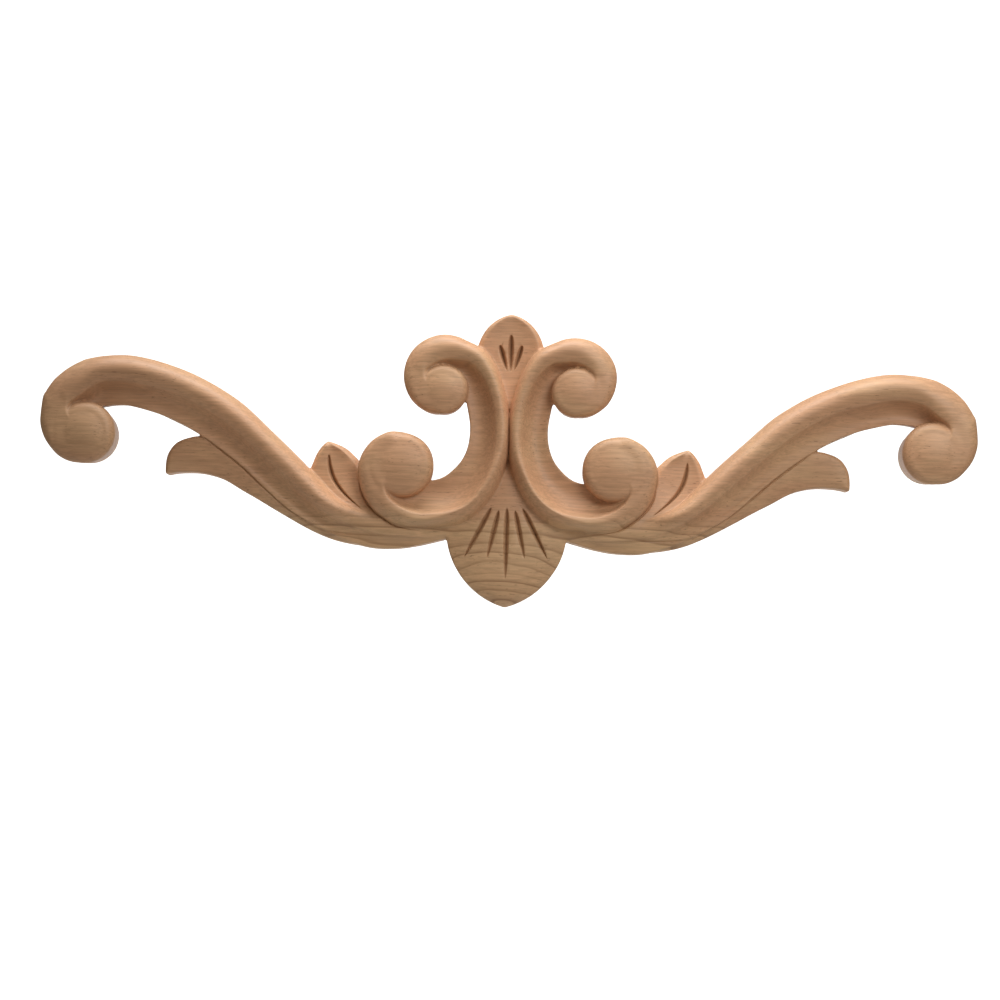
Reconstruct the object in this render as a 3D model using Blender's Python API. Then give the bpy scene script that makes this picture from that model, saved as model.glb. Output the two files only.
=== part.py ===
"""A carved wooden scroll onlay: one flat-backed piece of wood, the same on both sides of its mirror line.

The right half is built from separate overlapping solids, joined, cut flat at the back and at the mirror
line, and then mirrored. Sizes are in millimetres. x runs sideways from the mirror line and z upwards from
mid-height. Heights of the carving are measured forwards from the back, which lies in the plane Y = 0.
"""

import math

import bmesh
import bpy
from mathutils import Vector
from mathutils.bvhtree import BVHTree

MM = 0.001


def blend(first, second, share):
    """Mix two cross-sections value by value."""
    return {key: first[key] + (second[key] - first[key]) * share for key in first}


# How finely the curved forms are divided
STEPS_PER_ROW = 2
ROLL_STEPS = 4
LIP_STEPS = 2
COVE_STEPS = 3
DOME_STEPS = 6
EYE_STEPS = 32
EYE_ROLL_STEPS = 2
GOUGE_STEPS = 8

# Corners closer than this are one corner
WELD = 0.01

# The eyes at the hearts of the volutes: a low domed disc with a rounded edge
UPPER_EYE = dict(centre=(21.5, 22.4), radius=7.9, crown=17.2, edge=16.2, roll=1.3)
LOWER_EYE = dict(centre=(34.3, -2.2), radius=10.2, crown=18.0, edge=16.8, roll=1.6)
END_EYE = dict(centre=(136.3, 6.5), radius=10.4, crown=17.6, edge=16.4, roll=1.6)
EYE_CORE = 0.6

# The cove beside each eye: the angle where it opens, its gap there, and the angle where it has closed
UPPER_COVE = dict(opens=115, gap=2.3, closes=35)
LOWER_COVE = dict(opens=-116, gap=7.7, closes=-62)
END_COVE = dict(opens=92, gap=3.6, closes=45)

# Arcs of the volutes' outer edges
UPPER_ARC = dict(centre=(20.5, 26.8), radius=13.0)
LOWER_ARC = dict(centre=(34.5, -5.2), radius=13.6)
BELLY_ARC = dict(centre=(28.9, -3.8), radius=19.0)
END_ARC = dict(centre=(135.6, 9.8), radius=14.1)
TOP_ARC = dict(centre=(127.5, 7.4), radius=23.3)

# Cross-sections of the scrolls, from the outer edge inwards: a wall, a roll up to the crest, a shoulder down
# to the lip and a hollow cove to the inner edge. Places are shares of the width.
CURL = dict(wall=10.0, crest=16.6, crest_at=0.30, lip=14.8, lip_at=0.57, inner=11.4, dip=0.6)
SPINE = dict(wall=9.5, crest=16.0, crest_at=0.17, lip=14.8, lip_at=0.31, inner=11.2, dip=0.9)
BELLY = dict(wall=8.5, crest=17.0, crest_at=0.28, lip=16.5, lip_at=0.34, inner=11.4, dip=1.0)
ARM_NECK = dict(wall=9.0, crest=16.8, crest_at=0.33, lip=14.6, lip_at=0.60, inner=11.4, dip=1.0)
ARM = dict(wall=8.0, crest=15.8, crest_at=0.33, lip=14.2, lip_at=0.55, inner=10.4, dip=0.5)
ARM_ROOT = dict(wall=8.0, crest=12.6, crest_at=0.40, lip=12.0, lip_at=0.60, inner=9.6, dip=0.0)
ARM_TAIL = dict(wall=7.0, crest=10.0, crest_at=0.40, lip=9.9, lip_at=0.60, inner=9.0, dip=0.0)

# The C-scroll between its two volutes: outer edge, inner edge, section
C_ROWS = [
    ((8.3, 35.1), (17.2, 27.2), blend(CURL, SPINE, 0.1)),
    ((4.3, 29.3), (15.6, 25.0), blend(CURL, SPINE, 0.5)),
    ((1.8, 22.4), (14.7, 22.1), blend(CURL, SPINE, 0.85)),
    ((0.3, 16.0), (13.5, 16.7), SPINE),
    ((-0.3, 9.6), (12.5, 10.6), SPINE),
    ((-0.2, 3.2), (12.9, 4.8), blend(SPINE, BELLY, 0.2)),
    ((1.4, -4.2), (14.7, -0.1), blend(SPINE, BELLY, 0.6)),
    ((4.3, -11.4), (17.8, -3.8), blend(SPINE, BELLY, 0.9)),
    ((9.0, -17.5), (20.9, -6.1), BELLY),
    ((15.4, -21.3), (24.6, -7.2), BELLY),
]

# The arm from its volute down to the tongue: outer edge, inner edge, section
ARM_ROWS = [
    ((129.8, 30.5), (132.0, 13.1), ARM_NECK),
    ((121.8, 30.7), (124.0, 15.0), ARM_NECK),
    ((112.8, 29.1), (116.3, 13.8), ARM_NECK),
    ((103.1, 25.9), (109.4, 11.1), ARM),
    ((93.4, 21.3), (102.2, 7.7), ARM),
    ((84.5, 15.3), (94.3, 2.8), ARM),
    ((76.3, 7.9), (85.9, -3.6), ARM),
    ((68.6, 0.8), (77.9, -10.7), ARM),
    ((61.9, -5.9), (70.2, -17.1), ARM),
    ((54.5, -13.1), (61.5, -22.1), ARM),
    ((45.5, -17.5), (52.8, -26.3), ARM_ROOT),
    ((37.2, -19.5), (44.0, -28.8), ARM_ROOT),
    ((28.8, -20.8), (35.6, -29.0), ARM_ROOT),
    ((21.2, -21.5), (28.2, -27.9), ARM_TAIL),
    ((12.0, -21.8), (20.0, -25.8), ARM_TAIL),
]

# The leaf under the arm and the small leaf in its crook: one edge, the other edge
TAIL_LEAF_ROWS = [
    ((109.9, -6.5), (109.7, -7.1)),
    ((109.9, -3.8), (107.0, -6.5)),
    ((109.2, -0.3), (103.8, -6.2)),
    ((106.8, 3.0), (99.4, -6.2)),
    ((102.9, 4.8), (95.2, -6.9)),
    ((98.1, 5.3), (91.0, -8.3)),
    ((91.3, 2.6), (85.2, -11.6)),
    ((82.7, -4.5), (78.3, -15.3)),
    ((73.7, -12.2), (70.3, -19.9)),
    ((65.1, -18.3), (62.6, -23.9)),
    ((57.7, -21.8), (56.2, -26.4)),
    ((51.3, -23.2), (49.8, -28.0)),
    ((45.5, -23.5), (43.5, -27.0)),
]
SMALL_LEAF_ROWS = [
    ((57.8, 4.9), (58.1, 4.8)),
    ((54.9, 4.0), (59.8, 3.3)),
    ((52.0, 2.7), (61.5, 0.9)),
    ((49.4, 0.5), (62.6, -1.7)),
    ((47.4, -1.9), (63.6, -4.8)),
    ((45.6, -6.4), (63.0, -8.7)),
    ((43.6, -10.9), (60.3, -12.8)),
    ((40.6, -15.4), (56.0, -16.7)),
    ((38.0, -20.0), (51.0, -21.0)),
]
TAIL_LEAF = dict(edge=7.4, crown=8.5, rims=(1.0, 0.3))
SMALL_LEAF = dict(edge=7.2, crown=9.4, rims=(1.8, 1.1))

# The two leaves on the mirror line are pointed arches: a pair of arcs whose centres lie past the mirror line
TONGUE_ARCH = dict(middle=-21.8, offset=6.7, radius=26.1, way=-1)
TOP_LEAF_ARCH = dict(middle=34.0, offset=2.8, radius=13.6, way=1)
ARCH_STEPS = 9
TONGUE_STEM = [(3.2, 1.3), (-4.5, 7.0), (-11.5, 12.2), (-17.5, 16.6)]
TOP_LEAF_STEM = [(14.4, 1.3), (19.2, 2.9), (25.6, 6.2), (31.0, 9.6)]
TONGUE = dict(stem=9.0, crown=12.4, tip=7.5, edge_drop=2.6, rim=0.5)
TOP_LEAF = dict(stem=8.0, crown=10.6, tip=9.2, edge_drop=1.6, rim=1.0)

# Gouge cuts: start, end, width, depth
GOUGES = [
    ((0.0, -15.4), (0.0, -38.2), 1.6, 1.3),
    ((2.6, -16.2), (6.0, -31.5), 1.4, 1.1),
    ((5.0, -15.4), (13.3, -31.4), 1.4, 1.1),
    ((0.0, 40.8), (0.0, 29.4), 1.7, 1.3),
    ((4.0, 37.2), (2.2, 29.8), 1.5, 1.2),
]
VEIN = [(57.6, 0.2), (57.1, -3.6), (55.4, -8.0), (51.8, -12.4), (47.1, -16.3)]
VEIN_WIDTH = 1.1
VEIN_DEPTH = 0.9

WOOD_COLOUR = (0.52, 0.31, 0.18, 1.0)
WOOD_ROUGHNESS = 0.6


def clear_scene():
    for item in list(bpy.data.objects):
        bpy.data.objects.remove(item, do_unlink=True)


def on_circle(centre, radius, degrees):
    angle = math.radians(degrees)
    return (centre[0] + radius * math.cos(angle), centre[1] + radius * math.sin(angle))


def merged_section(eye, sink=0.0):
    """The band where it has run into the eye: its face carries on from the eye's dome out to the edge."""
    level = eye["edge"] - sink
    return dict(wall=level - 4.0, crest=level + 0.1, crest_at=0.5, lip=level + 0.05, lip_at=0.5,
                inner=level - 1.0, dip=0.0)


def volute_rows(arc, eye, cove, from_degrees, to_degrees, count, open_section):
    """Rows round a volute. The cove beside the eye closes, and then the band covers the eye's edge."""
    core = eye["radius"] * EYE_CORE
    covered = eye["radius"] - eye["roll"] - 0.2
    rows = []
    for step in range(count):
        angle = from_degrees + (to_degrees - from_degrees) * step / (count - 1)
        outer = on_circle(arc["centre"], arc["radius"], angle)
        inner = on_circle(eye["centre"], core, angle)
        share = (angle - cove["closes"]) / (cove["opens"] - cove["closes"])
        share = min(1.0, max(0.0, share))
        section = blend(merged_section(eye), open_section, share ** 0.6)
        edge = covered + (eye["radius"] - covered) * min(1.0, share * 4)
        lip = edge + cove["gap"] * share ** 1.5
        section["lip_at"] = 1 - (lip - core) / math.dist(outer, inner)
        section["crest_at"] = section["lip_at"] * (0.75 + (0.5 - 0.75) * share)
        rows.append((outer, inner, section))
    return rows


def tuck_row(eye, degrees):
    """The end of a band, hidden inside its eye."""
    outer = on_circle(eye["centre"], eye["radius"] * 0.86, degrees)
    inner = on_circle(eye["centre"], eye["radius"] * EYE_CORE, degrees)
    return (outer, inner, merged_section(eye, sink=1.0))


def curve_value(values, place):
    """Catmull-Rom interpolation through a list of equally long number lists."""
    last = len(values) - 1
    index = min(int(place), last - 1)
    t = place - index
    before = values[max(index - 1, 0)]
    after = values[min(index + 2, last)]
    result = []
    for p0, p1, p2, p3 in zip(before, values[index], values[index + 1], after):
        slope1 = (p2 - p0) / 2
        slope2 = (p3 - p1) / 2
        cubic = 2 * p1 - 2 * p2 + slope1 + slope2
        square = 3 * p2 - 3 * p1 - 2 * slope1 - slope2
        result.append(((cubic * t + square) * t + slope1) * t + p1)
    return result


def divide_rows(rows, steps):
    """Put extra rows between the given ones, on a smooth curve through them."""
    count = (len(rows) - 1) * steps
    return [curve_value(rows, step / steps) for step in range(count + 1)]


def scroll_profile(width, shape, back):
    """Distance from the outer edge and height, from the back of the outer wall to that of the inner one."""
    wall, crest, crest_at, lip, lip_at, inner, dip = shape
    points = [(0.0, -back), (0.0, wall)]
    for step in range(1, ROLL_STEPS + 1):
        turn = math.pi / 2 * step / ROLL_STEPS
        points.append((width * crest_at * (1 - math.cos(turn)), wall + (crest - wall) * math.sin(turn)))
    for step in range(1, LIP_STEPS + 1):
        share = step / LIP_STEPS
        points.append((width * (crest_at + (lip_at - crest_at) * share), crest - (crest - lip) * share ** 2))
    for step in range(1, COVE_STEPS + 1):
        share = step / COVE_STEPS
        height = inner + (lip - inner) * (1 - share) ** 2.5 - dip * math.sin(math.pi * share)
        points.append((width * (lip_at + (1 - lip_at) * share), height))
    points.append((width, -back))
    return points


def leaf_profile(width, edge, crown, rims, back):
    """A wall, a bevelled rim, a domed face, the other rim and the other wall."""
    near_rim = min(rims[0], width * 0.3)
    far_rim = min(rims[1], width * 0.3)
    near_level = edge + 0.8 * near_rim
    far_level = edge + 0.8 * far_rim
    points = [(0.0, -back), (0.0, edge)]
    for step in range(DOME_STEPS + 1):
        share = step / DOME_STEPS
        level = near_level + (far_level - near_level) * share
        height = level + (crown - level) * 4 * share * (1 - share)
        points.append((near_rim + (width - near_rim - far_rim) * share, height))
    points.append((width, edge))
    points.append((width, -back))
    return points


def section_points(outer, inner, profile):
    """Stand a profile up between two points of the outline."""
    start = Vector((outer[0], 0.0, outer[1]))
    end = Vector((inner[0], 0.0, inner[1]))
    direction = (end - start).normalized()
    return [(start + direction * distance + Vector((0.0, -height, 0.0))) * MM for distance, height in profile]


def loft(name, sections):
    """A closed solid through a row of closed sections, shaped from a grid."""
    across = len(sections[0])
    along = len(sections) - 1
    bm = bmesh.new()
    bmesh.ops.create_grid(bm, x_segments=across, y_segments=along, size=1.0)
    for vert in bm.verts:
        column = round((vert.co.x + 1) / 2 * across) % across
        row = round((vert.co.y + 1) / 2 * along)
        vert.co = sections[row][column]
    bmesh.ops.remove_doubles(bm, verts=bm.verts, dist=0.00001 * MM)
    bmesh.ops.holes_fill(bm, edges=[edge for edge in bm.edges if edge.is_boundary])
    return solid(name, bm)


def solid(name, bm):
    bmesh.ops.recalc_face_normals(bm, faces=bm.faces)
    if bm.calc_volume(signed=True) < 0:
        bmesh.ops.reverse_faces(bm, faces=bm.faces)
    mesh = bpy.data.meshes.new(name)
    bm.to_mesh(mesh)
    bm.free()
    item = bpy.data.objects.new(name, mesh)
    bpy.context.scene.collection.objects.link(item)
    return item


def scroll(name, rows, back):
    values = [[*outer, *inner, *section.values()] for outer, inner, section in rows]
    sections = []
    for outer_x, outer_z, inner_x, inner_z, *shape in divide_rows(values, STEPS_PER_ROW):
        width = math.dist((outer_x, outer_z), (inner_x, inner_z))
        profile = scroll_profile(width, shape, back)
        sections.append(section_points((outer_x, outer_z), (inner_x, inner_z), profile))
    return loft(name, sections)


def c_scroll():
    upper = volute_rows(UPPER_ARC, UPPER_EYE, UPPER_COVE, -72, 115, 11, CURL)
    belly = volute_rows(BELLY_ARC, LOWER_EYE, LOWER_COVE, -108, -15, 6, BELLY)
    lower = volute_rows(LOWER_ARC, LOWER_EYE, LOWER_COVE, 2, 72, 4, BELLY)
    ends = [tuck_row(UPPER_EYE, -112)], [tuck_row(LOWER_EYE, 112)]
    return scroll("c_scroll", ends[0] + upper + C_ROWS + belly + lower + ends[1], back=1.0)


def arm():
    side = volute_rows(END_ARC, END_EYE, END_COVE, -80, 0, 6, ARM_NECK)
    top = volute_rows(TOP_ARC, END_EYE, END_COVE, 22, 70, 5, ARM_NECK)
    return scroll("arm", [tuck_row(END_EYE, -118)] + side + top + ARM_ROWS, back=1.3)


def eye(name, shape, back):
    """A disc turned about its own axis."""
    radius = shape["radius"]
    roll = shape["roll"]
    flat = radius - roll
    profile = []
    for step in range(DOME_STEPS // 2 + 1):
        share = step / (DOME_STEPS // 2)
        profile.append((flat * share, shape["crown"] - (shape["crown"] - shape["edge"]) * share ** 2))
    for step in range(1, EYE_ROLL_STEPS + 1):
        turn = math.pi / 2 * step / EYE_ROLL_STEPS
        profile.append((flat + roll * math.sin(turn), shape["edge"] - roll * (1 - math.cos(turn))))
    profile.append((radius, -back))
    profile.append((0.0, -back))
    centre = Vector((shape["centre"][0], 0.0, shape["centre"][1])) * MM
    bm = bmesh.new()
    verts = [bm.verts.new(centre + Vector((distance, -height, 0.0)) * MM) for distance, height in profile]
    edges = [bm.edges.new(pair) for pair in zip(verts, verts[1:])]
    bmesh.ops.spin(bm, geom=verts + edges, cent=centre, axis=(0, 1, 0), angle=2 * math.pi, steps=EYE_STEPS,
                   use_merge=True)
    bmesh.ops.remove_doubles(bm, verts=bm.verts, dist=0.001 * MM)
    return solid(name, bm)


def leaf(name, rows, shape, back):
    sections = []
    for near_x, near_z, far_x, far_z in divide_rows([[*near, *far] for near, far in rows], STEPS_PER_ROW):
        width = math.dist((near_x, near_z), (far_x, far_z))
        profile = leaf_profile(width, shape["edge"], shape["crown"], shape["rims"], back)
        sections.append(section_points((near_x, near_z), (far_x, far_z), profile))
    return loft(name, sections)


def arch_leaf(name, arch, stem, shape, back):
    """A leaf on the mirror line: a stem hidden between the scrolls, then a pointed arch to the tip."""
    rows = [(z, half, shape["stem"] + (shape["crown"] - shape["stem"]) * step / len(stem))
            for step, (z, half) in enumerate(stem)]
    tip_angle = math.acos((arch["offset"] + 0.15) / arch["radius"])
    for step in range(ARCH_STEPS + 1):
        share = step / ARCH_STEPS
        angle = tip_angle * (1 - (1 - share) ** 1.3)
        half = arch["radius"] * math.cos(angle) - arch["offset"]
        z = arch["middle"] + arch["way"] * arch["radius"] * math.sin(angle)
        rows.append((z, half, shape["crown"] - (shape["crown"] - shape["tip"]) * share ** 2.5))
    sections = []
    rims = (shape["rim"], shape["rim"])
    for z, half, crown in rows:
        profile = leaf_profile(2 * half, crown - shape["edge_drop"], crown, rims, back)
        sections.append(section_points((-half, z), (half, z), profile))
    return loft(name, sections)


def combine(target, tools, operation):
    """Join the tools to the target, or cut them from it, and remove them."""
    for tool in tools:
        tool.hide_render = True
        tool.display_type = "WIRE"
        modifier = target.modifiers.new(operation.lower(), "BOOLEAN")
        modifier.operation = operation
        modifier.solver = "EXACT"
        modifier.object = tool
    depsgraph = bpy.context.evaluated_depsgraph_get()
    result = bpy.data.meshes.new_from_object(target.evaluated_get(depsgraph))
    target.modifiers.clear()
    target.data = result
    for tool in tools:
        bpy.data.objects.remove(tool, do_unlink=True)


def gouge(name, path, width, depth, surface):
    """A pointed V-shaped cut along a path, deepest a third of the way down, measured from the wood's face."""
    sections = []
    overshoot = 2.0
    for step in range(GOUGE_STEPS + 1):
        share = step / GOUGE_STEPS
        place = share * (len(path) - 1)
        x, z = curve_value(path, place)
        ahead = curve_value(path, min(place + 0.05, len(path) - 1))
        behind = curve_value(path, max(place - 0.05, 0.0))
        along = Vector((ahead[0] - behind[0], 0.0, ahead[1] - behind[1])).normalized()
        side = Vector((-along.z, 0.0, along.x))
        hit = surface.ray_cast(Vector((x, -100.0, z)) * MM, Vector((0.0, 1.0, 0.0)))[0]
        height = -hit.y / MM
        fullness = max(0.04, math.sin(math.pi * share ** 0.75) ** 0.8)
        half = width / 2 * fullness * overshoot
        top = height + depth * fullness * (overshoot - 1)
        floor = height - depth * fullness
        base = Vector((x, 0.0, z))
        sections.append([(base + side * half + Vector((0.0, -top, 0.0))) * MM,
                         (base - side * half + Vector((0.0, -top, 0.0))) * MM,
                         (base + Vector((0.0, -floor, 0.0))) * MM])
    return loft(name, sections)


def cut_gouges(target):
    bm = bmesh.new()
    bm.from_mesh(target.data)
    surface = BVHTree.FromBMesh(bm)
    bm.free()
    cutters = [gouge("gouge_cutter", [start, end], width, depth, surface)
               for start, end, width, depth in GOUGES]
    cutters.append(gouge("vein_cutter", VEIN, VEIN_WIDTH, VEIN_DEPTH, surface))
    combine(target, cutters, "DIFFERENCE")


def back_cutter():
    """A block behind the plane of the back."""
    bm = bmesh.new()
    bmesh.ops.create_cube(bm, size=1.0)
    bmesh.ops.scale(bm, vec=Vector((400.0, 20.0, 200.0)) * MM, verts=bm.verts)
    bmesh.ops.translate(bm, vec=Vector((0.0, 10.0, 0.0)) * MM, verts=bm.verts)
    return solid("back_cutter", bm)


def mirror_halves(target):
    """Keep the right half and mirror it to the left."""
    bm = bmesh.new()
    bm.from_mesh(target.data)
    geometry = bm.verts[:] + bm.edges[:] + bm.faces[:]
    bmesh.ops.bisect_plane(bm, geom=geometry, dist=0.0005 * MM, plane_co=(0, 0, 0), plane_no=(1, 0, 0),
                           clear_inner=True)
    for vert in bm.verts:
        if abs(vert.co.x) < 0.001 * MM:
            vert.co.x = 0.0
    bmesh.ops.mirror(bm, geom=bm.verts[:] + bm.edges[:] + bm.faces[:], axis="X", merge_dist=0.0005 * MM)
    bmesh.ops.remove_doubles(bm, verts=bm.verts, dist=WELD * MM)
    bmesh.ops.dissolve_degenerate(bm, edges=bm.edges, dist=WELD * MM)
    bmesh.ops.recalc_face_normals(bm, faces=bm.faces)
    bm.to_mesh(target.data)
    bm.free()


def wood_material():
    material = bpy.data.materials.new("rubberwood")
    material.use_nodes = True
    shader = material.node_tree.nodes["Principled BSDF"]
    shader.inputs["Base Color"].default_value = WOOD_COLOUR
    shader.inputs["Roughness"].default_value = WOOD_ROUGHNESS
    shader.inputs["Metallic"].default_value = 0.0
    return material


def build_onlay():
    onlay = arm()
    tools = [
        c_scroll(),
        eye("upper_eye", UPPER_EYE, back=1.6),
        eye("lower_eye", LOWER_EYE, back=1.7),
        eye("end_eye", END_EYE, back=1.8),
        leaf("tail_leaf", TAIL_LEAF_ROWS, TAIL_LEAF, back=1.9),
        leaf("small_leaf", SMALL_LEAF_ROWS, SMALL_LEAF, back=2.0),
        arch_leaf("tongue", TONGUE_ARCH, TONGUE_STEM, TONGUE, back=2.1),
        arch_leaf("top_leaf", TOP_LEAF_ARCH, TOP_LEAF_STEM, TOP_LEAF, back=2.2),
    ]
    combine(onlay, tools, "UNION")
    combine(onlay, [back_cutter()], "DIFFERENCE")
    cut_gouges(onlay)
    mirror_halves(onlay)
    onlay.name = "carved_onlay"
    onlay.data.name = "carved_onlay"
    onlay.data.materials.clear()
    onlay.data.materials.append(wood_material())
    onlay.data.shade_smooth()
    onlay.data.set_sharp_from_angle(angle=math.radians(35))
    return onlay


clear_scene()
build_onlay()
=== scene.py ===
import math

import bmesh
import bpy
import numpy as np
from mathutils import Matrix, Vector, noise


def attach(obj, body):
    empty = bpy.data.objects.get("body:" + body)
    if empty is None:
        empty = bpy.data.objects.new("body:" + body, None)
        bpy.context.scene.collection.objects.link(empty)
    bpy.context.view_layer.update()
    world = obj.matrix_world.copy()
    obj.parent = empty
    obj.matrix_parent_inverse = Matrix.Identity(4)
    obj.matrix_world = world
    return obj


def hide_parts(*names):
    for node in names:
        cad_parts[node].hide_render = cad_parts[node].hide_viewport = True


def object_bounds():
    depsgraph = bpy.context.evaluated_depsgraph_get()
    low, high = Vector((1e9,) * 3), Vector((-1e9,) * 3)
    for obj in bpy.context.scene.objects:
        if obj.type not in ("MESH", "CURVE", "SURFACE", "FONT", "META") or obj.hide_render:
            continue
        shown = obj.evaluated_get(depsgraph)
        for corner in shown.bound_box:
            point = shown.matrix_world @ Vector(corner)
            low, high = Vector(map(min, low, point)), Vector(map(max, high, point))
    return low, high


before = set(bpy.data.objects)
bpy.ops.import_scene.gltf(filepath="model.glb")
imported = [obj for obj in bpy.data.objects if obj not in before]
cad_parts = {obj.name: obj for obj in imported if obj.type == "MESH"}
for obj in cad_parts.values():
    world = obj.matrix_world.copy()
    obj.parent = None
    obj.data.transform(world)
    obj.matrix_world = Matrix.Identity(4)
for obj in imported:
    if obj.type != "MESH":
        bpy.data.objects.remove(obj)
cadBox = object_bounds()
mm = 0.001
print("frame loaded, box", [tuple(round(value, 4) for value in corner) for corner in cadBox])

# Sizes are in millimetres: x sideways from the mirror line, z upwards, heights forwards from the flat back.

carving = dict(
    rowSteps=6, rollSteps=10, lipSteps=6, coveSteps=12, domeSteps=16, eyeSteps=96,
    voxel=0.32, smoothing=5, triangles=188000, backMargin=1.6, handWobble=0.12, wobbleSize=9.0,
    faceDepth=3.0, wallDepth=2.0, flatDepth=1.0,   # how far in front of the back the tools start to work
    hollowGain=4.0, sandRounds=60, sharpAngle=50,
)

eyes = dict(
    upper=dict(centre=(21.3, 21.9), radius=8.0, crown=17.0, edge=16.2, roll=2.8, undercut=1.1, settle=2.6),
    lower=dict(centre=(34.0, -2.6), radius=10.3, crown=17.9, edge=16.9, roll=3.3, undercut=0.4, settle=4),
    end=dict(centre=(135.3, 5.3), radius=9.9, crown=17.6, edge=16.5, roll=3.4, undercut=1.0, settle=2),
)
coves = dict(
    upper=dict(opens=115, gap=2.3, closes=22),
    lower=dict(opens=-119, gap=9.1, closes=-46),
    end=dict(opens=101, gap=5.3, closes=40),
)
volute = dict(
    core=0.6, cover=0.8,   # how deep the band reaches into its eye, how far it laps over the rim at first
    parting=5,   # how fast band and eye part
    settleTurn=80, settleSteps=5, settleDepth=1.2,   # how the band's end sinks into the rim
)
arcs = dict(
    upper=dict(centre=(20.8, 26.5), radius=13.3),
    lower=dict(centre=(34.5, -5.2), radius=13.6),
    belly=dict(centre=(28.9, -3.8), radius=19.0),
    end=dict(centre=(135.6, 9.8), radius=14.1),
    top=dict(centre=(127.5, 7.4), radius=23.3),
)

# A section runs from the outer edge inwards: wall, roll up to the crest, shoulder down to the lip, cove.
curl = dict(
    wall=10.0, crest=16.6, crestAt=0.30,
    lip=14.8, lipAt=0.57, inner=11.4, dip=0.6, arris=0.0, undercut=0.0,
)
spine = dict(
    wall=9.5, crest=16.0, crestAt=0.19,
    lip=14.9, lipAt=0.35, inner=11.2, dip=0.9, arris=0.0, undercut=0.0,
)
belly = dict(
    wall=8.5, crest=17.0, crestAt=0.25,
    lip=16.5, lipAt=0.30, inner=11.4, dip=1.0, arris=0.55, undercut=0.0,
)
armNeck = dict(
    wall=9.0, crest=16.8, crestAt=0.31,
    lip=15.0, lipAt=0.55, inner=11.0, dip=1.2, arris=0.0, undercut=1.0,
)
armMiddle = dict(
    wall=8.0, crest=15.8, crestAt=0.31,
    lip=14.3, lipAt=0.52, inner=10.3, dip=0.7, arris=0.0, undercut=0.0,
)
armRoot = dict(
    wall=11.0, crest=12.6, crestAt=0.27,
    lip=12.0, lipAt=0.54, inner=9.5, dip=0.0, arris=0.0, undercut=0.0,
)
armTail = dict(
    wall=9.6, crest=10.9, crestAt=0.32,
    lip=10.7, lipAt=0.55, inner=9.3, dip=0.0, arris=0.0, undercut=0.0,
)


def blend(first, second, share):
    return {key: first[key] + (second[key] - first[key]) * share for key in first}


cRows = [   # outer edge, inner edge, section
    ((8.3, 35.1), (17.2, 27.2), blend(curl, spine, 0.1)),
    ((4.3, 29.3), (15.6, 25.0), blend(curl, spine, 0.5)),
    ((1.8, 22.4), (14.7, 22.1), blend(curl, spine, 0.85)),
    ((0.3, 16.0), (13.5, 16.7), spine),
    ((-0.3, 9.6), (12.5, 10.6), spine),
    ((-0.2, 3.2), (12.9, 4.8), blend(spine, belly, 0.2)),
    ((1.4, -4.2), (14.7, -0.1), blend(spine, belly, 0.6)),
    ((4.3, -11.4), (17.8, -3.8), blend(spine, belly, 0.9)),
    ((9.0, -17.5), (20.9, -6.1), belly),
    ((15.4, -21.3), (24.6, -7.2), belly),
]
armRows = [
    ((129.8, 30.5), (131.6, 13.6), armNeck),
    ((121.8, 30.7), (123.8, 14.5), armNeck),
    ((112.8, 29.1), (116.3, 13.1), armNeck),
    ((103.1, 25.9), (109.4, 11.1), armMiddle),
    ((93.4, 21.3), (102.2, 7.7), armMiddle),
    ((84.5, 15.3), (94.3, 2.8), armMiddle),
    ((76.3, 7.9), (85.9, -3.6), armMiddle),
    ((68.6, 0.8), (77.9, -10.7), armMiddle),
    ((61.9, -5.9), (70.2, -17.1), armMiddle),
    ((54.5, -13.1), (61.5, -22.1), armMiddle),
    ((45.5, -17.5), (52.8, -26.3), armRoot),
    ((37.2, -19.5), (44.0, -28.8), armRoot),
    ((28.8, -20.8), (35.6, -29.0), armRoot),
    ((21.2, -21.5), (28.2, -27.9), armTail),
    ((12.0, -21.8), (20.0, -25.8), armTail),
]
tailLeaf = dict(bulge=0.5, rims=(1.0, 0.5), rows=[   # one edge, the other edge, their heights
    ((109.9, -6.5), (109.7, -7.1), 7.4, 7.4),
    ((109.9, -3.8), (107.0, -6.5), 7.4, 7.4),
    ((109.2, -0.3), (103.8, -6.2), 7.5, 7.5),
    ((106.8, 3.0), (99.4, -6.2), 7.7, 7.5),
    ((102.9, 4.8), (95.2, -6.9), 8.2, 7.5),
    ((98.1, 5.3), (91.0, -8.3), 8.8, 7.5),
    ((91.3, 2.6), (85.2, -11.6), 9.2, 7.5),
    ((82.7, -4.5), (78.3, -15.3), 9.4, 7.5),
    ((73.7, -12.2), (70.3, -19.9), 9.4, 7.5),
    ((65.1, -18.3), (62.6, -23.9), 9.2, 7.5),
    ((57.7, -21.8), (56.2, -26.4), 8.8, 7.5),
    ((51.3, -23.2), (49.9, -27.8), 8.2, 7.5),
    ((45.5, -23.5), (43.5, -28.5), 7.5, 7.4),
])
smallLeaf = dict(bulge=-0.4, rims=(1.9, 1.6), rows=[
    ((57.8, 4.9), (58.1, 4.8), 7.2, 7.2),
    ((54.9, 4.0), (59.8, 3.3), 7.2, 7.2),
    ((52.0, 2.7), (61.5, 0.9), 7.2, 7.2),
    ((49.4, 0.5), (62.6, -1.7), 7.2, 7.2),
    ((47.4, -1.9), (63.6, -4.8), 7.5, 7.3),
    ((45.6, -6.4), (63.0, -8.7), 8.0, 7.6),
    ((43.6, -10.9), (60.3, -12.8), 9.0, 8.5),
    ((40.6, -15.4), (56.0, -16.7), 10.2, 9.9),
    ((38.0, -20.0), (51.0, -21.0), 11.2, 11.0),
])
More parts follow.
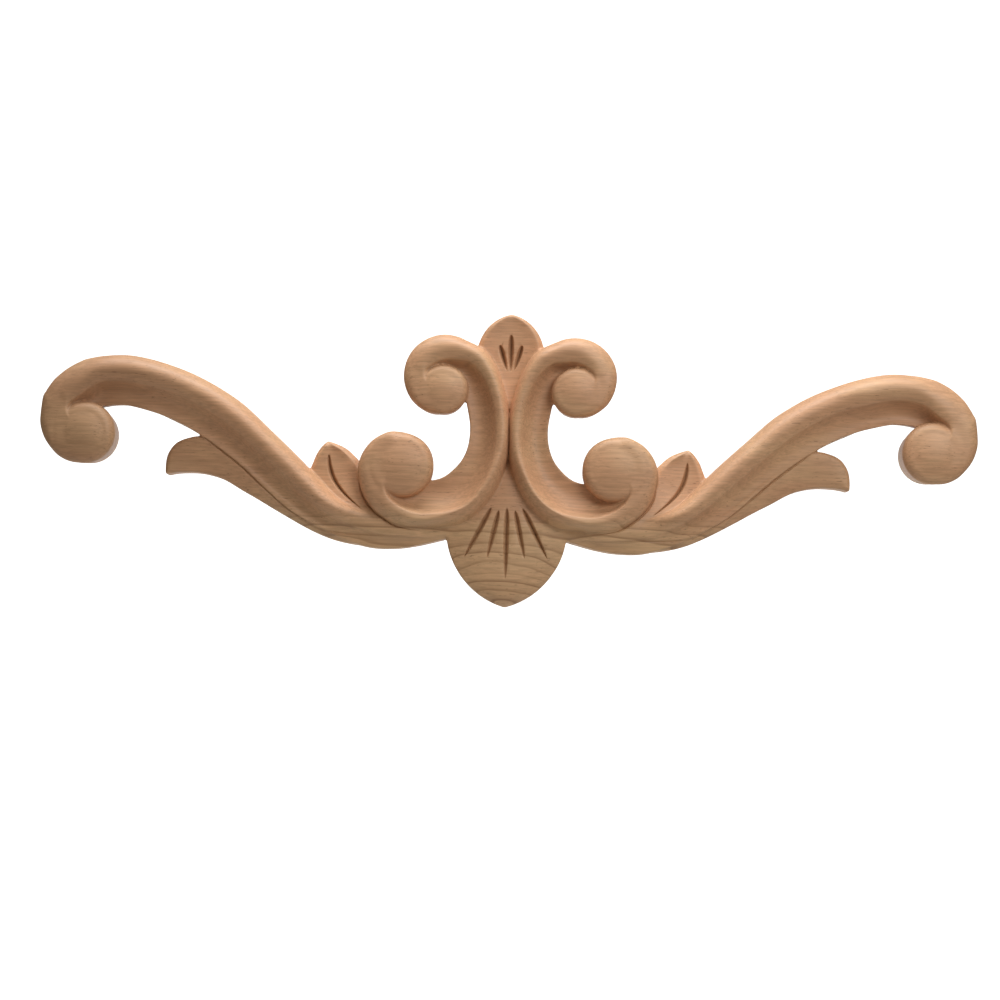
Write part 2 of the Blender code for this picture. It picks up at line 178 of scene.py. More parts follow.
tongue = dict(   # stem: height up the mirror line, half width, height of the face
    middle=-21.8, offset=6.7, radius=26.1, way=-1, steps=12,
    stem=[(3.2, 1.3, 9.0), (-4.5, 7.0, 10.6), (-11.5, 12.2, 11.6), (-17.5, 16.6, 12.1)],
    face=12.3, tip=8.0, rim=0.5, edgeDrop=2.2, bulge=1.8,
)
topLeaf = dict(
    middle=34.0, offset=2.8, radius=13.6, way=1, steps=12,
    stem=[(13.0, 1.3, 11.0), (18.4, 2.9, 10.9), (25.0, 6.2, 10.4), (31.0, 9.6, 10.1)],
    face=10.1, tip=9.6, rim=1.5, edgeDrop=1.5, bulge=-0.7,
)
cuts = [   # path, width, depth; each is repeated on the other side of the mirror line
    ([(0.0, -15.4), (0.0, -38.2)], 1.9, 2.0),
    ([(2.6, -16.2), (6.0, -31.5)], 1.8, 1.8),
    ([(5.0, -15.4), (13.3, -31.4)], 1.8, 1.9),
    ([(0.0, 40.6), (0.0, 28.6)], 2.0, 2.0),
    ([(3.6, 37.2), (1.2, 29.0)], 1.8, 1.9),
    ([(57.6, 0.6), (57.1, -3.6), (55.4, -8.0), (51.8, -12.4), (46.6, -16.8)], 1.7, 1.6),
    ([(0.0, 0.4), (0.0, 9.0), (0.0, 17.0)], 1.0, 0.9),
    ([(47.7, -2.2), (47.2, -9.4), (45.7, -13.5), (42.5, -17.3), (39.2, -20.0), (36.0, -21.9), (32.5, -22.8),
      (27.5, -23.3)], 1.1, 0.7),
    ([(97.6, 5.0), (94.3, 2.6), (85.9, -3.8), (77.9, -10.9), (70.2, -17.3), (61.0, -22.8)], 1.0, 0.7),
    ([(67.5, -19.6), (60.2, -23.3), (53.0, -24.7), (43.2, -25.0), (33.4, -25.4), (24.0, -25.6)], 1.0, 0.4),
]
sandedSpots = [   # x, z, radius: places where two forms run into each other without a crease
    (20.5, -22.5, 5.0), (23.8, 19.6, 6.0), (36.6, -0.6, 7.5), (138.2, 2.9, 7.4),
]


def onCircle(centre, radius, degrees):
    angle = math.radians(degrees)
    return (centre[0] + radius * math.cos(angle), centre[1] + radius * math.sin(angle))


def domeHeight(eye, distance):
    return eye["crown"] - (eye["crown"] - eye["edge"]) * (distance / (eye["radius"] - eye["roll"])) ** 2


def mergedSection(eye, sink=0.0):   # the band's face where it runs on from the eye's dome out to the edge
    level = eye["edge"] - sink
    return dict(wall=level - 3.6, crest=level - 0.3, crestAt=0.5, lip=level - 0.05, lipAt=0.5,
                inner=domeHeight(eye, eye["radius"] * volute["core"]) - 0.12 - sink, dip=0.0, arris=0.0,
                undercut=eye["undercut"])


def voluteRows(arc, eye, cove, fromDegrees, toDegrees, count, openSection):
    core = eye["radius"] * volute["core"]
    covered = eye["radius"] - volute["cover"]
    rows = []
    for step in range(count):
        angle = fromDegrees + (toDegrees - fromDegrees) * step / (count - 1)
        outer = onCircle(arc["centre"], arc["radius"], angle)
        inner = onCircle(eye["centre"], core, angle)
        share = min(1.0, max(0.0, (angle - cove["closes"]) / (cove["opens"] - cove["closes"])))
        section = blend(mergedSection(eye), openSection, share ** 0.6)
        edge = covered + (eye["radius"] - covered) * min(1.0, share * volute["parting"])
        lip = edge + cove["gap"] * share ** 1.1
        section["lipAt"] = 1 - (lip - core) / math.dist(outer, inner)
        section["crestAt"] = section["lipAt"] * (0.75 + (0.5 - 0.75) * share)
        rows.append((outer, inner, section))
    return rows


def settleRows(arc, eye, lastDegrees, way):   # the band's end, sinking slowly into the rim of its eye
    lastPoint = onCircle(arc["centre"], arc["radius"], lastDegrees)
    excess = math.dist(lastPoint, eye["centre"]) - eye["radius"]
    across, upwards = lastPoint[0] - eye["centre"][0], lastPoint[1] - eye["centre"][1]
    firstAngle = math.degrees(math.atan2(upwards, across))
    turn = volute["settleTurn"]
    lastAngle = lastDegrees + way * turn
    rows = []
    for step in range(1, volute["settleSteps"] + 1):
        share = step / volute["settleSteps"]
        reach = eye["radius"] + excess * (1 - share) ** eye["settle"] - 1.6 * share ** 3
        outer = onCircle(eye["centre"], reach, firstAngle + (lastAngle - firstAngle) * share)
        inner = onCircle(eye["centre"], eye["radius"] * volute["core"], lastDegrees + way * turn * share)
        section = mergedSection(eye, sink=volute["settleDepth"] * share ** 2)
        section["wall"] = section["crest"] - 3.3 + (3.3 - eye["roll"]) * share
        section["lipAt"] = (eye["roll"] + 0.5) / math.dist(outer, inner)
        section["crestAt"] = eye["roll"] / math.dist(outer, inner)
        rows.append((outer, inner, section))
    return rows


def curveValue(values, place):   # a smooth curve through equally long lists of numbers
    last = len(values) - 1
    index = min(int(place), last - 1)
    t = place - index
    result = []
    for p0, p1, p2, p3 in zip(values[max(index - 1, 0)], values[index], values[index + 1],
                              values[min(index + 2, last)]):
        slope1 = (p2 - p0) / 2
        slope2 = (p3 - p1) / 2
        cubic = 2 * p1 - 2 * p2 + slope1 + slope2
        square = 3 * p2 - 3 * p1 - 2 * slope1 - slope2
        result.append(((cubic * t + square) * t + slope1) * t + p1)
    return result


def divideRows(rows, steps):
    return [curveValue(rows, step / steps) for step in range((len(rows) - 1) * steps + 1)]


def scrollProfile(width, shape):   # distance from the outer edge, height
    wall, crest, crestAt, lip, lipAt, inner, dip, arris, undercut = shape
    last = math.pi / 2 * (1 - 0.45 * arris)
    points = [(undercut, -carving["backMargin"]), (0.0, wall)]
    for step in range(1, carving["rollSteps"] + 1):
        turn = last * step / carving["rollSteps"]
        points.append((width * crestAt * (1 - math.cos(turn)) / (1 - math.cos(last)),
                       wall + (crest - wall) * math.sin(turn) / math.sin(last)))
    for step in range(1, carving["lipSteps"] + 1):
        share = step / carving["lipSteps"]
        points.append((width * (crestAt + (lipAt - crestAt) * share), crest - (crest - lip) * share ** 2))
    for step in range(1, carving["coveSteps"] + 1):
        share = step / carving["coveSteps"]
        height = inner + (lip - inner) * (1 - share) ** 3.4 - dip * math.sin(math.pi * share)
        points.append((width * (lipAt + (1 - lipAt) * share), height))
    points.append((width - undercut, -carving["backMargin"]))
    return points


def leafProfile(width, edges, bulge, rims):   # a wall, a bevelled rim, a domed or dished face, and back down
    nearRim, farRim = [min(rim, width * 0.3) for rim in rims]
    nearLevel, farLevel = edges[0] + 0.8 * nearRim, edges[1] + 0.8 * farRim
    points = [(0.0, -carving["backMargin"]), (0.0, edges[0])]
    for step in range(carving["domeSteps"] + 1):
        share = step / carving["domeSteps"]
        level = nearLevel + (farLevel - nearLevel) * share
        height = level + bulge * 4 * share * (1 - share)
        points.append((nearRim + (width - nearRim - farRim) * share, height))
    points.append((width, edges[1]))
    points.append((width, -carving["backMargin"]))
    return points


def standUp(outer, inner, profile, side):   # a profile stood up between two points of the outline
    start = Vector((outer[0] * side, 0.0, outer[1]))
    end = Vector((inner[0] * side, 0.0, inner[1]))
    direction = (end - start).normalized()
    return [(start + direction * distance + Vector((0.0, -height, 0.0))) * mm for distance, height in profile]


def loft(name, sections):
    across, along = len(sections[0]), len(sections) - 1
    bm = bmesh.new()
    bmesh.ops.create_grid(bm, x_segments=across, y_segments=along, size=1.0)
    for vert in bm.verts:
        column = round((vert.co.x + 1) / 2 * across) % across
        row = round((vert.co.y + 1) / 2 * along)
        vert.co = sections[row][column]
    bmesh.ops.remove_doubles(bm, verts=bm.verts, dist=0.00001 * mm)
    bmesh.ops.holes_fill(bm, edges=[edge for edge in bm.edges if edge.is_boundary])
    return solid(name, bm)


def solid(name, bm):
    bmesh.ops.recalc_face_normals(bm, faces=bm.faces)
    if bm.calc_volume(signed=True) < 0:
        bmesh.ops.reverse_faces(bm, faces=bm.faces)
    mesh = bpy.data.meshes.new(name)
    bm.to_mesh(mesh)
    bm.free()
    item = bpy.data.objects.new(name, mesh)
    bpy.context.scene.collection.objects.link(item)
    return item


def scroll(name, rows, side):
    values = [[*outer, *inner, *section.values()] for outer, inner, section in rows]
    sections = []
    for outerX, outerZ, innerX, innerZ, *shape in divideRows(values, carving["rowSteps"]):
        profile = scrollProfile(math.dist((outerX, outerZ), (innerX, innerZ)), shape)
        sections.append(standUp((outerX, outerZ), (innerX, innerZ), profile, side))
    return loft(name, sections)


def cScroll(side):
    start = settleRows(arcs["upper"], eyes["upper"], -42, -1)[::-1]
    upper = voluteRows(arcs["upper"], eyes["upper"], coves["upper"], -42, 115, 19, curl)
    under = voluteRows(arcs["belly"], eyes["lower"], coves["lower"], -108, -15, 11, belly)
    lower = voluteRows(arcs["lower"], eyes["lower"], coves["lower"], 2, 72, 4, belly)
    finish = settleRows(arcs["lower"], eyes["lower"], 72, 1)
    return scroll("cScroll", start + upper + cRows + under + lower + finish, side)


def arm(side):
    start = settleRows(arcs["end"], eyes["end"], -40, -1)[::-1]
    flank = voluteRows(arcs["end"], eyes["end"], coves["end"], -40, 0, 4, armNeck)
    top = voluteRows(arcs["top"], eyes["end"], coves["end"], 22, 70, 9, armNeck)
    return scroll("arm", start + flank + top + armRows, side)


def eyeButton(shape, side):   # a domed disc turned about its own axis
    radius, roll = shape["radius"], shape["roll"]
    flat = radius - roll
    profile = []
    for step in range(carving["domeSteps"] + 1):
        share = step / carving["domeSteps"]
        profile.append((flat * share, shape["crown"] - (shape["crown"] - shape["edge"]) * share ** 2))
    for step in range(1, carving["rollSteps"] + 1):
        turn = math.pi / 2 * step / carving["rollSteps"]
        profile.append((flat + roll * math.sin(turn), shape["edge"] - roll * (1 - math.cos(turn))))
    profile += [(radius - shape["undercut"], -carving["backMargin"]), (0.0, -carving["backMargin"])]
    centre = Vector((shape["centre"][0] * side, 0.0, shape["centre"][1])) * mm
    bm = bmesh.new()
    verts = [bm.verts.new(centre + Vector((distance, -height, 0.0)) * mm) for distance, height in profile]
    edges = [bm.edges.new(pair) for pair in zip(verts, verts[1:])]
    bmesh.ops.spin(bm, geom=verts + edges, cent=centre, axis=(0, 1, 0), angle=2 * math.pi,
                   steps=carving["eyeSteps"], use_merge=True)
    bmesh.ops.remove_doubles(bm, verts=bm.verts, dist=0.001 * mm)
    return solid("eye", bm)


def leaf(name, shape, side):
    sections = []
    values = [[*near, *far, *edges] for near, far, *edges in shape["rows"]]
    for nearX, nearZ, farX, farZ, *edges in divideRows(values, carving["rowSteps"]):
        width = math.dist((nearX, nearZ), (farX, farZ))
        profile = leafProfile(width, edges, shape["bulge"], shape["rims"])
        sections.append(standUp((nearX, nearZ), (farX, farZ), profile, side))
    return loft(name, sections)


def archLeaf(name, shape):   # a stem hidden between the scrolls, then a pointed arch to the tip
    rows = [list(row) for row in shape["stem"]]
    tipAngle = math.acos((shape["offset"] + 0.15) / shape["radius"])
    for step in range(shape["steps"] + 1):
        share = step / shape["steps"]
        angle = tipAngle * (1 - (1 - share) ** 1.3)
        half = shape["radius"] * math.cos(angle) - shape["offset"]
        z = shape["middle"] + shape["way"] * shape["radius"] * math.sin(angle)
        rows.append([z, half, shape["face"] - (shape["face"] - shape["tip"]) * share ** 2.5])
    sections = []
    for z, half, face in divideRows(rows, 4):
        half = max(half, 0.1)
        edge = face - shape["edgeDrop"]
        bulge = shape["bulge"] * min(1.0, half / 8)
        profile = leafProfile(2 * half, (edge, edge), bulge, (shape["rim"], shape["rim"]))
        sections.append(standUp((-half, z), (half, z), profile, 1))
    return loft(name, sections)


def joinSolids(solids):
    bm = bmesh.new()
    for item in solids:
        bm.from_mesh(item.data)
        bpy.data.objects.remove(item, do_unlink=True)
    return solid("carvedOnlay", bm)


def applyModifiers(item):
    depsgraph = bpy.context.evaluated_depsgraph_get()
    result = bpy.data.meshes.new_from_object(item.evaluated_get(depsgraph))
    item.modifiers.clear()
    old = item.data
    item.data = result
    bpy.data.meshes.remove(old)


def vertexPlaces(mesh):
    places = np.empty(len(mesh.vertices) * 3)
    mesh.vertices.foreach_get("co", places)
    return places.reshape(-1, 3)


def distanceToPath(places, path):   # sideways distance to a path, and how far along it the nearest point is
    points = np.array([curveValue(path, place) for place in np.linspace(0, len(path) - 1, 25)]) * mm
    flat = places[:, [0, 2]]
    best = np.full(len(places), 1.0)
    share = np.zeros(len(places))
    for index, (start, end) in enumerate(zip(points, points[1:])):
        along = end - start
        t = np.clip(((flat - start) @ along) / (along @ along), 0.0, 1.0)
        distance = np.linalg.norm(flat - start - t[:, None] * along, axis=1)
        nearer = distance < best
        best[nearer] = distance[nearer]
        share[nearer] = (index + t[nearer]) / (len(points) - 1)
    return best, share


def everyCut():   # each cut on both sides of the mirror line
    for path, width, depth in cuts:
        other = [(-x, z) for x, z in path]
        for run in [path] if other == path else [path, other]:
            yield run, width, depth


def gougeFullness(share):   # hardly anything at the ends of a cut, most a little before its middle
    return np.maximum(0.03, np.sin(np.pi * share ** 0.75) ** 0.8)


def cutGouges(item):
    mesh = item.data
    places = vertexPlaces(mesh)
    front = places[:, 1] < -carving["faceDepth"] * mm
    near = np.zeros(len(places), bool)
    for run, width, depth in everyCut():
        near |= front & (distanceToPath(places, run)[0] < (width / 2 + 0.5) * mm)
    bm = bmesh.new()
    bm.from_mesh(mesh)
    edges = [edge for edge in bm.edges if near[edge.verts[0].index] and near[edge.verts[1].index]]
    bmesh.ops.subdivide_edges(bm, edges=edges, cuts=2, use_grid_fill=True)
    bm.to_mesh(mesh)
    bm.free()
    places = vertexPlaces(mesh)
    front = places[:, 1] < -carving["faceDepth"] * mm
    for run, width, depth in everyCut():
        distance, share = distanceToPath(places, run)
        fullness = gougeFullness(share)
        across = distance / (width * mm / 2 * fullness)
        places[:, 1] += front * np.clip(1 - across, 0.0, 1.0) * depth * mm * fullness
    mesh.vertices.foreach_set("co", places.ravel())
    mesh.update()


def markShadeAndHighlight(item):   # two values at each vertex for the wood: painted shade in hollows and cuts, painted highlight on raised parts
    mesh = item.data
    places = vertexPlaces(mesh)
    normals = np.empty(len(places) * 3)
    mesh.vertices.foreach_get("normal", normals)
    normals = normals.reshape(-1, 3)
    ends = np.empty(len(mesh.edges) * 2, int)
    mesh.edges.foreach_get("vertices", ends)
    first, second = ends.reshape(-1, 2).T
    uses = np.maximum(np.bincount(np.concatenate([first, second]), minlength=len(places)), 1)

    def neighbourMean(values):
        total = np.zeros_like(values)
        np.add.at(total, first, values[second])
        np.add.at(total, second, values[first])
        return total / (uses if values.ndim == 1 else uses[:, None])

    lengths = np.linalg.norm(places[first] - places[second], axis=1)
    reach = np.zeros(len(places))
    np.add.at(reach, first, lengths)
    np.add.at(reach, second, lengths)
    bend = ((neighbourMean(places) - places) * normals).sum(1) / (reach / uses)
    for _ in range(3):
        bend = 0.5 * bend + 0.5 * neighbourMean(bend)
    # painted shade: darker where the surface curves inwards, in creases
    hollowShade = np.clip(bend * carving["hollowGain"], 0.0, 1.0)
    front = places[:, 1] < -carving["faceDepth"] * mm
    # painted shade inside the cuts too
    for run, width, depth in everyCut():
        distance, share = distanceToPath(places, run)
        inside = np.clip(1.25 - distance / (width * mm / 2 * gougeFullness(share)), 0.0, 1.0)
        hollowShade = np.maximum(hollowShade, inside * min(1.0, depth) * front)
    # painted highlight: lighter where the surface curves outwards, on crests and edges
    raisedHighlight = np.clip(-bend * carving["hollowGain"], 0.0, 1.0)
    for name, values in (("hollowShade", hollowShade), ("raisedHighlight", raisedHighlight)):
        attribute = mesh.attributes.new(name, "FLOAT", "POINT")
        attribute.data.foreach_set("value", values.astype(np.float32))


def sandSpots(item):   # softens the mesh round the given places only
    places = vertexPlaces(item.data)
    weight = np.zeros(len(places))
    for x, z, radius in sandedSpots:
        for sideways in (x, -x):
            distance = np.hypot(places[:, 0] - sideways * mm, places[:, 2] - z * mm) / (radius * mm)
            weight = np.maximum(weight, np.clip(1 - distance ** 2, 0.0, 1.0))
    weight[places[:, 1] > -carving["wallDepth"] * mm] = 0.0
    group = item.vertex_groups.new(name="sanded")
    for index in np.nonzero(weight > 0.01)[0]:
        group.add([int(index)], float(weight[index]), "REPLACE")
    smooth = item.modifiers.new("sand", "SMOOTH")
    smooth.factor = 0.5
    smooth.iterations = carving["sandRounds"]
    smooth.vertex_group = "sanded"
    applyModifiers(item)
    item.vertex_groups.clear()


def makeOnlay():
    solids = [archLeaf("tongue", tongue), archLeaf("topLeaf", topLeaf)]
    for side in (1, -1):
        solids += [cScroll(side), arm(side)]
        solids += [leaf("tailLeaf", tailLeaf, side), leaf("smallLeaf", smallLeaf, side)]
        solids += [eyeButton(shape, side) for shape in eyes.values()]
    onlay = joinSolids(solids)
    print("carving blocked out,", len(onlay.data.polygons), "faces")

    remesh = onlay.modifiers.new("remesh", "REMESH")
    remesh.mode = "VOXEL"
    remesh.voxel_size = carving["voxel"] * mm
    smooth = onlay.modifiers.new("smooth", "SMOOTH")
    smooth.factor = 0.5
    smooth.iterations = carving["smoothing"]
    applyModifiers(onlay)
    print("carving fused,", len(onlay.data.polygons), "faces")

    sandSpots(onlay)
    cutGouges(onlay)
    print("gouges cut")

    decimate = onlay.modifiers.new("decimate", "DECIMATE")
    decimate.ratio = carving["triangles"] / (2 * len(onlay.data.polygons))
    applyModifiers(onlay)
    print("carving thinned,", len(onlay.data.polygons), "faces")

    bm = bmesh.new()
    bm.from_mesh(onlay.data)
    cutResult = bmesh.ops.bisect_plane(bm, geom=bm.verts[:] + bm.edges[:] + bm.faces[:], dist=0.01 * mm,
                                       plane_co=(0, 0, 0), plane_no=(0, 1, 0), clear_outer=True)
    rimEdges = [item for item in cutResult["geom_cut"] if isinstance(item, bmesh.types.BMEdge)]
    bmesh.ops.triangle_fill(bm, edges=rimEdges, use_beauty=True, normal=(0, 1, 0))
    lowest, highest = cadBox
    for vert in bm.verts:
        if vert.co.y < -carving["flatDepth"] * mm:   # the uneven surface that a knife leaves
            vert.co += noise.noise_vector(vert.co / (carving["wobbleSize"] * mm)) * carving["handWobble"] * mm
        for axis in range(3):
            vert.co[axis] = min(max(vert.co[axis], lowest[axis]), highest[axis])
    bmesh.ops.remove_doubles(bm, verts=bm.verts, dist=0.004 * mm)
    bmesh.ops.recalc_face_normals(bm, faces=bm.faces)
    openEdges = sum(not edge.is_manifold for edge in bm.edges)
    print("open edges:", openEdges, "volume:", bm.calc_volume(signed=True))
    bm.to_mesh(onlay.data)
    bm.free()
    onlay.data.shade_smooth()
    onlay.data.set_sharp_from_angle(angle=math.radians(carving["sharpAngle"]))
    markShadeAndHighlight(onlay)
    return onlay


wood = dict(
    pink=(0.62, 0.345, 0.19, 1), yellow=(0.69, 0.44, 0.24, 1),
    # the dark latewood colour of the rings is also used as the painted shade in hollows
    latewoodAndShade=(0.33, 0.17, 0.08, 1), pore=(0.24, 0.11, 0.05, 1),
    ringWidth=3.1, ringSlope=0.35, ringTilt=0.024, ringWarp=9.0, ringArch=0.013,
    fibreStretch=(0.055, 1.5, 1.7), cloudStretch=(0.03, 0.07, 0.07), warpStretch=(0.02, 0.05, 0.06),
    poreStretch=(0.33, 3.2, 3.4), crowdStretch=(0.04, 0.10, 0.10), fibreContrast=(0.84, 1.13),
    poreShare=0.75, hollowShadeShare=0.7, raisedHighlightShare=0.25,   # how much each one colours the wood; the hollow share is painted shade, the raised share painted highlight
    leftFalloffShade=0.84, roughness=0.52, shine=0.55, bumpStrength=0.35, bumpDepth=0.00012,
)


def node(tree, kind, inputs=None, **settings):   # inputs are set or linked; gives the first output
    made = tree.nodes.new("ShaderNode" + kind)
    for name, value in settings.items():
        setattr(made, name, value)
    for key, value in (inputs or {}).items():
        if isinstance(value, bpy.types.NodeSocket):
            tree.links.new(value, made.inputs[key])
        else:
            made.inputs[key].default_value = value
    return made.outputs[0]


def maths(tree, operation, first, second=0.0):
    return node(tree, "Math", {0: first, 1: second}, operation=operation)


def ramp(tree, value, low, high, newLow=0.0, newHigh=1.0):
    return node(tree, "MapRange", {0: value, 1: low, 2: high, 3: newLow, 4: newHigh},
                interpolation_type="SMOOTHSTEP")


def stretchedNoise(tree, place, stretch, detail=2.0, roughness=0.5):   # noise drawn out along the fibres
    vector = node(tree, "VectorMath", {0: place, 1: stretch}, operation="MULTIPLY")
    return node(tree, "TexNoise", {"Vector": vector, "Scale": 1.0, "Detail": detail, "Roughness": roughness})


def mixColours(tree, factor, first, second, way="MIX"):
    made = tree.nodes.new("ShaderNodeMix")
    made.data_type = "RGBA"
    made.blend_type = way
    for index, value in ((0, factor), (6, first), (7, second)):
        if isinstance(value, bpy.types.NodeSocket):
            tree.links.new(value, made.inputs[index])
        else:
            made.inputs[index].default_value = value
    return made.outputs[2]


def makeWood():
    material = bpy.data.materials.new("rubberwood")
    material.use_nodes = True
    tree = material.node_tree
    shader = tree.nodes["Principled BSDF"]
    place = tree.nodes.new("ShaderNodeTexCoord").outputs["Object"]
    place = node(tree, "VectorMath", {0: place, 1: (1000, 1000, 1000)}, operation="MULTIPLY")
    parts = tree.nodes.new("ShaderNodeSeparateXYZ")
    tree.links.new(place, parts.inputs[0])
    x, y, z = parts.outputs

    # growth rings cut along the board: tilted sheets, warped, arched over the tongue's tip
    warp = maths(tree, "SUBTRACT", stretchedNoise(tree, place, wood["warpStretch"], 2.5), 0.5)
    warp = maths(tree, "MULTIPLY", warp, wood["ringWarp"])
    tipShare = ramp(tree, z, -24.0, -36.0)
    arch = maths(tree, "MINIMUM", maths(tree, "POWER", x, 2.0), 300.0)
    arch = maths(tree, "MULTIPLY", arch, wood["ringArch"])
    rise = maths(tree, "ADD", z, maths(tree, "MULTIPLY", y, wood["ringSlope"]))
    rise = maths(tree, "ADD", rise, maths(tree, "MULTIPLY", x, wood["ringTilt"]))
    rise = maths(tree, "ADD", rise, maths(tree, "MULTIPLY", arch, tipShare))
    rise = maths(tree, "DIVIDE", maths(tree, "ADD", rise, warp), wood["ringWidth"])
    ringPlace = maths(tree, "MULTIPLY", rise, -1.0)
    phase = maths(tree, "FRACT", ringPlace)
    darkening = node(tree, "FloatCurve", {"Factor": 1.0, "Value": phase})
    curve = darkening.node.mapping.curves[0]
    curve.points[0].location, curve.points[1].location = (0.0, 0.0), (1.0, 0.0)
    for point in ((0.45, 0.12), (0.78, 0.55), (0.90, 1.0), (0.96, 0.35)):
        curve.points.new(*point)
    darkening.node.mapping.update()
    ringWeight = node(tree, "TexWhiteNoise", {"W": maths(tree, "FLOOR", ringPlace)}, noise_dimensions="1D")
    lowShare = ramp(tree, z, -15.0, -24.0)
    ringStrength = maths(tree, "MULTIPLY", ramp(tree, ringWeight, 0.0, 1.0, 0.35, 1.0),
                         ramp(tree, lowShare, 0.0, 1.0, 0.22, 0.85))
    rings = maths(tree, "MULTIPLY", darkening, ringStrength)

    fibres = stretchedNoise(tree, place, wood["fibreStretch"], 4.0, 0.62)
    cloud = stretchedNoise(tree, place, wood["cloudStretch"], 3.0)
    poreField = stretchedNoise(tree, place, wood["poreStretch"], 1.0)
    poreCrowd = stretchedNoise(tree, place, wood["crowdStretch"], 1.0)
    pores = maths(tree, "MULTIPLY", ramp(tree, poreField, 0.665, 0.74),
                  ramp(tree, poreCrowd, 0.40, 0.62, 0.25, 1.0))

    # colour: pink to yellow, fibres with painted shade towards the left end, then rings, pores, painted shade
    # in hollows and painted highlight on raised parts over it
    yellowShare = maths(tree, "ADD", maths(tree, "MULTIPLY", lowShare, 0.75),
                        ramp(tree, cloud, 0.42, 0.68, 0.0, 0.5))
    colour = mixColours(tree, node(tree, "Clamp", {0: yellowShare}), wood["pink"], wood["yellow"])
    brightness = ramp(tree, fibres, 0.25, 0.75, *wood["fibreContrast"])
    leftFalloffShade = ramp(tree, x, -145.0, -85.0, wood["leftFalloffShade"], 1.0)   # painted shade: the wood is darkened towards the left end, where less light falls
    brightness = maths(tree, "MULTIPLY", brightness, leftFalloffShade)
    grey = node(tree, "CombineColor", {0: brightness, 1: brightness, 2: brightness})
    colour = mixColours(tree, 1.0, colour, grey, "MULTIPLY")
    colour = mixColours(tree, rings, colour, wood["latewoodAndShade"])
    colour = mixColours(tree, maths(tree, "MULTIPLY", pores, wood["poreShare"]), colour, wood["pore"])
    hollowShade = node(tree, "Attribute", attribute_name="hollowShade").node.outputs["Fac"]
    raisedHighlight = node(tree, "Attribute", attribute_name="raisedHighlight").node.outputs["Fac"]
    # painted shade in hollows and cuts, in the dark latewood colour
    colour = mixColours(tree, maths(tree, "MULTIPLY", hollowShade, wood["hollowShadeShare"]), colour, wood["latewoodAndShade"])
    # painted highlight on raised parts, in the yellow wood colour
    colour = mixColours(tree, maths(tree, "MULTIPLY", raisedHighlight, wood["raisedHighlightShare"]), colour, wood["yellow"])
    tree.links.new(colour, shader.inputs["Base Color"])

    roughness = maths(tree, "ADD", maths(tree, "MULTIPLY", fibres, 0.2), wood["roughness"] - 0.1)
    tree.links.new(roughness, shader.inputs["Roughness"])
    shader.inputs["Specular IOR Level"].default_value = wood["shine"]
    height = maths(tree, "SUBTRACT", maths(tree, "MULTIPLY", fibres, 0.7), pores)
    bump = node(tree, "Bump", {"Strength": wood["bumpStrength"], "Distance": wood["bumpDepth"],
                               "Height": height})
    tree.links.new(bump, shader.inputs["Normal"])
    return material


studio = dict(
    cameraTarget=(-0.0023, 0.0, -0.0122), cameraDistance=0.8, elevation=-3.42, roll=1.46, focalPixels=2470.0,
    wallDistance=1.0, wallSize=1.1, wallColour=(0.9, 0.9, 0.9, 1), wallGlow=1.05,
    floorDrop=0.36, floorSize=2.4, floorColour=(0.84, 0.83, 0.81, 1),
    skyLight=0.175, skyColour=(1.0, 0.88, 0.72, 1),
    topLight=dict(place=(-0.01, -0.075, 0.52), target=(0, 0, 0),
                  width=0.50, height=0.23, energy=3.4, spread=180),
    sideLight=dict(place=(0.30, -0.50, 0.28), target=(0.05, 0, 0),
                   width=0.30, height=0.30, energy=0.285, spread=72),
)


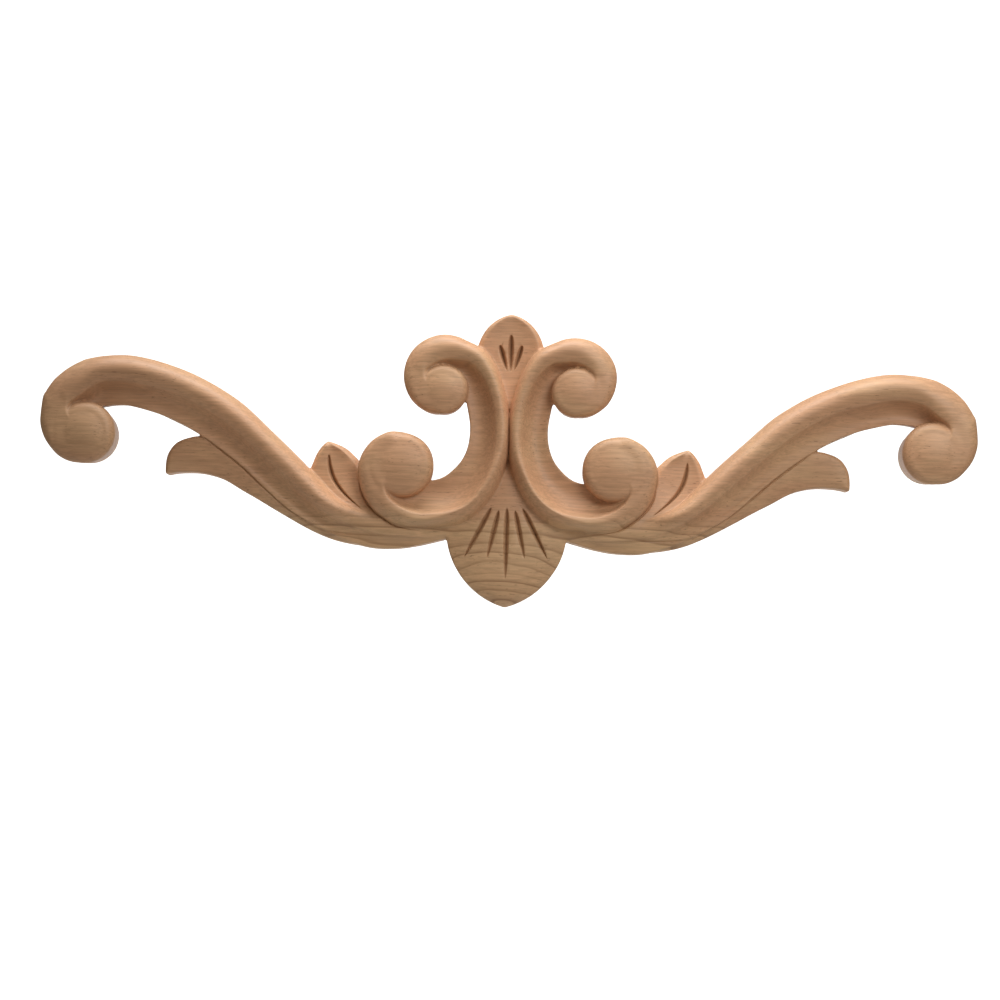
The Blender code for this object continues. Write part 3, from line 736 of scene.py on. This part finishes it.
def placeCamera():
    elevation, roll = math.radians(studio["elevation"]), math.radians(studio["roll"])
    forward = Vector((0.0, math.cos(elevation), -math.sin(elevation)))
    right = forward.cross(Vector((0, 0, 1))).normalized()
    up = right.cross(forward)
    turnedRight = math.cos(roll) * right + math.sin(roll) * up
    turnedUp = -math.sin(roll) * right + math.cos(roll) * up
    camera = bpy.data.objects.new("camera", bpy.data.cameras.new("camera"))
    camera.data.sensor_width = 36.0
    camera.data.lens = studio["focalPixels"] * 36.0 / 1000
    placing = Matrix((turnedRight, turnedUp, -forward)).transposed().to_4x4()
    placing.translation = Vector(studio["cameraTarget"]) - forward * studio["cameraDistance"]
    camera.matrix_world = placing
    bpy.context.scene.collection.objects.link(camera)
    bpy.context.scene.camera = camera


def softLight(name, place, target, width, height, energy, spread):
    light = bpy.data.lights.new(name, "AREA")
    light.shape = "RECTANGLE"
    light.size, light.size_y = width, height
    light.energy = energy
    light.spread = math.radians(spread)
    item = bpy.data.objects.new(name, light)
    item.location = place
    item.rotation_euler = (Vector(target) - Vector(place)).to_track_quat("-Z", "Y").to_euler()
    bpy.context.scene.collection.objects.link(item)


def plainSheet(name, size, colour, glow=0.0):
    bm = bmesh.new()
    bmesh.ops.create_grid(bm, x_segments=1, y_segments=1, size=size / 2)
    mesh = bpy.data.meshes.new(name)
    bm.to_mesh(mesh)
    bm.free()
    item = bpy.data.objects.new(name, mesh)
    bpy.context.scene.collection.objects.link(item)
    material = bpy.data.materials.new(name)
    material.use_nodes = True
    shader = material.node_tree.nodes["Principled BSDF"]
    shader.inputs["Base Color"].default_value = colour
    shader.inputs["Roughness"].default_value = 0.9
    shader.inputs["Emission Color"].default_value = (1, 1, 1, 1)
    shader.inputs["Emission Strength"].default_value = glow
    mesh.materials.append(material)
    return item


def makeStudio():
    floor = plainSheet("floor", studio["floorSize"], studio["floorColour"])
    floor.location = (0, 0, -studio["floorDrop"])
    backdrop = plainSheet("backdrop", studio["wallSize"], studio["wallColour"], studio["wallGlow"])
    backdrop.location = (0, studio["wallDistance"], 0)
    backdrop.rotation_euler = (math.pi / 2, 0, 0)
    placeCamera()
    softLight("topLight", **studio["topLight"])
    softLight("sideLight", **studio["sideLight"])
    world = bpy.data.worlds.new("studio")
    world.use_nodes = True
    background = world.node_tree.nodes["Background"]
    background.inputs["Color"].default_value = studio["skyColour"]
    background.inputs["Strength"].default_value = studio["skyLight"]
    bpy.context.scene.world = world
    bpy.context.scene.view_settings.view_transform = "Standard"


onlay = makeOnlay()
onlay.data.materials.append(makeWood())
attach(onlay, "root")
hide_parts("carved_onlay")
print("onlay finished,", len(onlay.data.polygons), "faces")

makeStudio()
print("studio ready")
